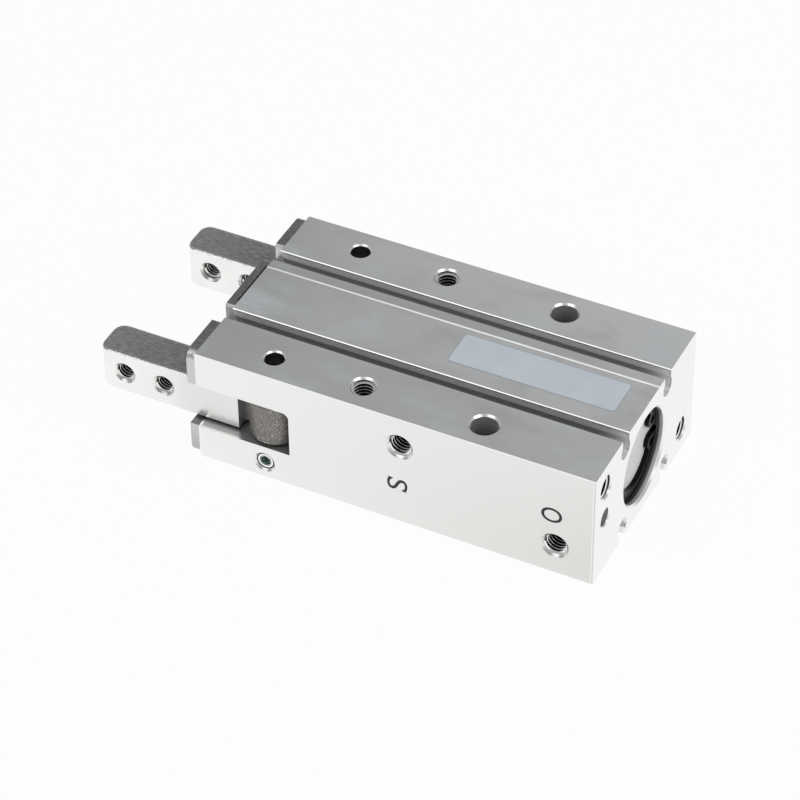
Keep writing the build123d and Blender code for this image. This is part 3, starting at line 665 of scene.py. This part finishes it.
# %% A finish for every piece
finishes = {
    "body_aluminium": block_finish(),
    "plate_steel": plate.finished(),
    "finger_steel": finger.finished(),
    "screw_steel": plain_metal("screw_steel", (0.42, 0.42, 0.43), 0.35),
    "cap_aluminium": dull_finish("cap_aluminium", (0.93, 0.93, 0.92), 0.45, 1.2 * mm, 0.03),
    "seal_rubber": dull_finish("seal_rubber", (0.020, 0.020, 0.021), 0.55),
    "stop_rubber": dull_finish("stop_rubber", (0.030, 0.030, 0.030), 0.60),
    "ring_steel": plain_metal("ring_steel", (0.014, 0.014, 0.015), 0.28),
    "shaft_steel": plain_metal("shaft_steel", (0.62, 0.62, 0.62), 0.20),
    "set_screw_steel": set_screw_finish(),
    "piston_aluminium": plain_metal("piston_aluminium", (0.74, 0.74, 0.72), 0.30),
    "magnet": dull_finish("magnet", (0.10, 0.10, 0.11), 0.50),
    "wear_plastic": dull_finish("wear_plastic", (0.80, 0.78, 0.72), 0.50),
    "rod_steel": plain_metal("rod_steel", (0.76, 0.76, 0.77), 0.12, contrast=0.05),
    "nut_steel": plain_metal("nut_steel", (0.50, 0.50, 0.51), 0.35),
    "crosshead_steel": plain_metal("crosshead_steel", (0.44, 0.44, 0.44), 0.32, 0.2 * mm),
    "pin_steel": plain_metal("pin_steel", (0.60, 0.60, 0.61), 0.20),
    "roller_steel": plain_metal("roller_steel", (0.55, 0.55, 0.56), 0.22),
}
for subpart in frame["record"]["subparts"]:
    node = nodes[subpart["node"]]
    node.data.materials.clear()
    node.data.materials.append(finishes[subpart["material_slot"]])
print(len(finishes), "finishes on", len(nodes), "nodes")

# %% [markdown]
# A screw thread in a hole is one ridge that winds down the wall. It could be a bump, but the
# ridges catch the light and hide each other, so they are real. The ridge's section is a small
# four-sided loop, and the Screw modifier sweeps it round and along the hole's axis. Its two
# ends are then closed, which makes the ridge a solid like any other piece.

# %% Thread turns
thread_steps = 28
fade_turns = 7


def select_none():
    if bpy.context.object and bpy.context.object.mode != "OBJECT":
        bpy.ops.object.mode_set(mode="OBJECT")
    bpy.ops.object.select_all(action="DESELECT")


def wind_ridge(name, root, crest, pitch, length):
    """Sweep a four-sided loop between two radii down a hole along -Z, one pitch each turn."""
    root_half, crest_half = 0.42 * pitch, 0.13 * pitch
    select_none()
    bpy.ops.mesh.primitive_plane_add(size=1.0)
    ridge = bpy.context.object
    ridge.name = name
    for vertex in ridge.data.vertices:
        outer = vertex.co.x > 0
        half = root_half if outer else crest_half
        upper = vertex.co.y > 0
        vertex.co = (root if outer else crest, 0.0, half if upper else -half)
    bpy.ops.object.mode_set(mode="EDIT")
    bpy.ops.mesh.select_all(action="SELECT")
    bpy.ops.mesh.delete(type="ONLY_FACE")
    bpy.ops.object.mode_set(mode="OBJECT")
    turns = ridge.modifiers.new("turns", "SCREW")
    turns.steps = thread_steps
    turns.render_steps = thread_steps
    turns.iterations = count = max(1, int(length / pitch - 1))
    turns.screw_offset = -pitch
    turns.use_merge_vertices = False
    bpy.ops.object.modifier_apply(modifier="turns")
    return ridge, count


def close_ends():
    """Close the two ends of the ridge just made, and turn its faces outwards."""
    bpy.ops.object.mode_set(mode="EDIT")
    bpy.ops.mesh.select_all(action="DESELECT")
    bpy.ops.mesh.select_mode(type="EDGE")
    bpy.ops.mesh.select_non_manifold()
    bpy.ops.mesh.fill_holes(sides=4)
    bpy.ops.mesh.select_all(action="SELECT")
    bpy.ops.mesh.normals_make_consistent(inside=False)
    bpy.ops.object.mode_set(mode="OBJECT")
    bpy.ops.object.shade_smooth_by_angle(angle=math.radians(30))


def thread_turns(name, hole_radius, pitch, length, through):
    """Wind a ridge down a hole that opens at the origin and runs along -Z.

    The attribute crest is 1 on the ridge's edge and 0 at its root, for the thread's finish. It
    fades over some turns from where the hole is open, which is both ends if it goes through,
    and the root of the first turn is lit as well.
    """
    depth = 0.54 * pitch
    root = hole_radius + 0.01 * mm
    ridge, count = wind_ridge(name, root, hole_radius - depth, pitch, length)
    crests = ridge.data.attributes.new("crest", "FLOAT", "POINT")
    for index, vertex in enumerate(ridge.data.vertices):
        from_axis = math.hypot(vertex.co.x, vertex.co.y)
        turns_in = -vertex.co.z / pitch
        if through:
            turns_in = min(turns_in, count - turns_in)
        lit = (root - from_axis) / depth * max(0.25, 1 - turns_in / fade_turns)
        crests.data[index].value = max(lit, 0.5 - turns_in / 3)
        vertex.co.z -= 0.45 * pitch
    close_ends()
    return ridge


print("a thread has", thread_steps, "steps to a turn")

# %% [markdown]
# Every ridge is made in the same place, at the origin along -Z, and then turned and moved to its
# hole. Its metal is bright along the crest and dark towards the root. Between real turns the
# light would bounce many times and come out dim, so the attribute crest stands for that, and
# the render needs no more bounces.

# %% A thread in its hole
def place_in_hole(piece, mouth, axis):
    """Turn a piece made along Z to the hole's axis, move it there and keep that in its mesh."""
    select_none()
    piece.select_set(True)
    bpy.context.view_layer.objects.active = piece
    turns = {
        (0, 0, 1): (0.0, 0.0, 0.0),
        (0, 0, -1): (math.pi, 0.0, 0.0),
        (0, 1, 0): (-math.pi / 2, 0.0, 0.0),
        (0, -1, 0): (math.pi / 2, 0.0, 0.0),
        (-1, 0, 0): (0.0, -math.pi / 2, 0.0),
    }
    piece.rotation_euler = turns[tuple(round(part) for part in axis)]
    piece.location = mouth
    bpy.ops.object.transform_apply(location=True, rotation=True, scale=True)


def thread_metal(name, crest_colour, root_colour):
    """Bright along the thread's crest and dark towards its root, where little light comes."""
    finish = Finish(name, metallic=1.0)
    crest = finish.add("ShaderNodeAttribute", {"attribute_name": "crest"}, output=2)
    grains = finish.noise(0.15 * mm, detail=2.0)
    finish.drive("Base Color", finish.blend(root_colour, crest_colour, crest.ramp(0.15, 0.85)))
    finish.drive("Roughness", grains * 0.10 + 0.16)
    return finish.material


thread_finish = {
    "block": thread_metal("block_thread", (0.92, 0.92, 0.91), (0.02, 0.02, 0.02)),
    "finger": thread_metal("finger_thread", (0.86, 0.85, 0.83), (0.02, 0.019, 0.018)),
}
print(len(thread_finish), "thread finishes")

# %% [markdown]
# The block has M5 threads: two air ports in its near side, two in its rear face, and two each
# in its top and bottom. Each hole is a plain cylinder as wide as the thread in the CAD model,
# and its place comes from the record, so one list of mouths and axes serves them all. Modelling
# one thread and copying it would save little, since the lengths differ.

# %% Threads in the block
thread_sizes = {"block": (2.5 * mm, 0.8 * mm), "finger": (2.0 * mm, 0.7 * mm)}
port_length, flat_length, rear_length = 5.6 * mm, 7.8 * mm, 9.8 * mm
below_side, below_face = 0.30 * mm, 0.15 * mm


def cut_thread(name, kind, body, length, mouth, axis):
    """Wind a thread into a hole of a body: M5 in the block, M4 through a finger."""
    radius, pitch = thread_sizes[kind]
    ridge = thread_turns(name, radius, pitch, length, through=kind == "finger")
    place_in_hole(ridge, mouth, axis)
    ridge.data.materials.append(thread_finish[kind])
    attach(ridge, body)


spots = []
for name in ("open_port", "close_port"):
    x, _, z = mounts[name]["pos_m"]
    spots.append((name, port_length, (x, half_width - below_side, z), (0, 1, 0)))
for side, y in (("near", row_y), ("far", -row_y)):
    top = (row_x, y, half_height - below_face)
    bottom = (row_x, y, below_face - half_height)
    spots.append(("top_thread_" + side, flat_length, top, (0, 0, 1)))
    spots.append(("bottom_thread_" + side, flat_length, bottom, (0, 0, -1)))
for name in ("rear_thread_near", "rear_thread_far"):
    _, y, z = mounts[name]["pos_m"]
    spots.append((name, rear_length, (below_face, y, z), (-1, 0, 0)))
for name, length, mouth, axis in spots:
    cut_thread(name + "_turns", "block", "block", length, mouth, axis)
print(len(spots), "threads in the block")

# %% [markdown]
# Two M4 threads go right through each finger, for the jaws that a user screws on. They ride on
# the finger's own body, so they swing with it. Left in the block's frame, they would stay behind
# when it opens.

# %% Threads through the fingers
hole_middle = mounts["near_finger_holes"]["pos_m"][0]
hole_pitch = mounts["near_finger_holes"]["dims"]["spacing_x_mm"] * mm
finger_length = pad_outer - pad_inner - 2 * below_side
for side, sign in (("near", 1), ("far", -1)):
    for place, offset in (("tip", hole_pitch / 2), ("root", -hole_pitch / 2)):
        name = f"{side}_finger_{place}_turns"
        mouth = (hole_middle + offset, sign * (pad_outer - below_side), 0.0)
        cut_thread(name, "finger", side + "_jaw", finger_length, mouth, (0, sign, 0))
print("4 threads through the fingers")

# %% [markdown]
# The label on top is a thin plate of satin film with small round corners, left bare. A plane
# with its corners bevelled and a Solidify modifier gives it a thickness that shows at the edge.
# A patch of colour on the block would be simpler, but would lie flush with the metal.

# %% Bare label plate
label_box = ((5.0 * mm, -4.4 * mm), (41.4 * mm, 4.7 * mm))
label_thickness = 0.06 * mm
label_corner = 0.7 * mm
(label_rear, label_far), (label_front, label_near) = label_box
select_none()
bpy.ops.mesh.primitive_plane_add(size=1.0)
label = bpy.context.object
label.name = "label_plate"
for vertex in label.data.vertices:
    vertex.co = (
        label_front if vertex.co.x > 0 else label_rear,
        label_near if vertex.co.y > 0 else label_far,
        half_height,
    )
bpy.ops.object.mode_set(mode="EDIT")
bpy.ops.mesh.select_all(action="SELECT")
bpy.ops.mesh.bevel(offset=label_corner, segments=5, affect="VERTICES")
bpy.ops.object.mode_set(mode="OBJECT")
film = label.modifiers.new("film", "SOLIDIFY")
film.thickness = label_thickness
film.offset = 1.0
bpy.ops.object.modifier_apply(modifier="film")


def label_finish():
    """Pale blue film, with painted shade along its round rim."""
    finish = Finish("label_film", metallic=0.35)
    grains = finish.noise(0.35 * mm, detail=2.0)
    clouds = finish.noise(6 * mm, detail=2.0)
    along, across, _ = finish.axes(finish.position())
    centre_x, centre_y = (label_rear + label_front) / 2, (label_far + label_near) / 2
    beyond_x = ((along - centre_x).size() - (label_front - centre_x - label_corner)).most(0.0)
    beyond_y = ((across - centre_y).size() - (label_near - centre_y - label_corner)).most(0.0)
    # Painted shade along the label's edge
    rim = distance(beyond_x, beyond_y).above(label_corner - 0.16 * mm, 0.10 * mm)
    colour = finish.layers(
        (0.73, 0.80, 0.87),
        ((0.78, 0.85, 0.90), clouds.ramp(0.3, 0.7)),
        ((0.84, 0.90, 0.95), grains.ramp(0.55, 0.75) * 0.4),
        ((0.40, 0.44, 0.48), rim),
    )
    finish.drive("Base Color", colour)
    finish.drive("Roughness", grains * 0.10 + 0.38)
    finish.bump(grains, 0.004 * mm)
    return finish.material


label.data.materials.append(label_finish())
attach(label, "block")
print("label", [round(side / mm, 1) for side in label.dimensions])

# %% [markdown]
# Each air port has one printed letter beside it: O for open and S for shut. Text objects give
# clean outlines, where drawing them by hand gives uneven ones. The letters lie on their side,
# stretched to the size of the real ones, and the S gets a small serif at each end. They are
# made a mesh, laid on the wall and given the thickness of ink.

# %% Port marks
ink_thickness = 0.02 * mm
ink = dull_finish("black_ink", (0.020, 0.020, 0.020), 0.5)


def finish_mark(mark, name):
    mark.name = name
    mark.data.materials.append(ink)
    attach(mark, "block")


def port_mark(letter, name, middle_x, middle_z, letter_height, letter_width, bolder):
    """Print a letter on the near side wall, its top towards the fingers."""
    select_none()
    bpy.ops.object.text_add()
    mark = bpy.context.object
    mark.data.body = letter
    mark.data.extrude = 0.5
    mark.data.offset = bolder
    mark.data.resolution_u = 6
    bpy.ops.object.convert(target="MESH")
    spans = []
    for axis in range(3):
        places = [vertex.co[axis] for vertex in mark.data.vertices]
        spans.append((min(places), max(places) - min(places)))
    for vertex in mark.data.vertices:
        across, up, out = [
            (place - low) / span - 0.5 for place, (low, span) in zip(vertex.co, spans)
        ]
        vertex.co = (
            middle_x + up * letter_height,
            half_width + out * ink_thickness,
            middle_z + across * letter_width,
        )
    finish_mark(mark, name)


def serif(name, corners):
    """Print a small triangle on the near side wall, from the X and Z of its corners."""
    select_none()
    bpy.ops.mesh.primitive_circle_add(vertices=3, radius=1.0, fill_type="NGON")
    mark = bpy.context.object
    for vertex, (x, z) in zip(mark.data.vertices, corners):
        vertex.co = (x, half_width - ink_thickness / 2, z)
    film = mark.modifiers.new("film", "SOLIDIFY")
    film.thickness = ink_thickness
    film.offset = 0.0
    bpy.ops.object.modifier_apply(modifier="film")
    bpy.ops.object.mode_set(mode="EDIT")
    bpy.ops.mesh.select_all(action="SELECT")
    bpy.ops.mesh.normals_make_consistent(inside=False)
    bpy.ops.object.mode_set(mode="OBJECT")
    finish_mark(mark, name)


letter_height = 4.5 * mm
shut_x, shut_z = 42.5 * mm, -3.65 * mm
open_x, open_z = 9.0 * mm, 1.55 * mm
port_mark("S", "mark_shut", shut_x, shut_z, letter_height, 3.0 * mm, bolder=0.0)
port_mark("O", "mark_open", open_x, open_z, letter_height, 3.7 * mm, bolder=0.006)
for name, way in (("front", 1), ("rear", -1)):
    corners = [(2.05, 1.55), (0.85, 1.45), (1.75, 0.55)]
    places = [(shut_x + way * x * mm, shut_z + way * z * mm) for x, z in corners]
    serif("mark_shut_serif_" + name, places)
print("marks on the port side")
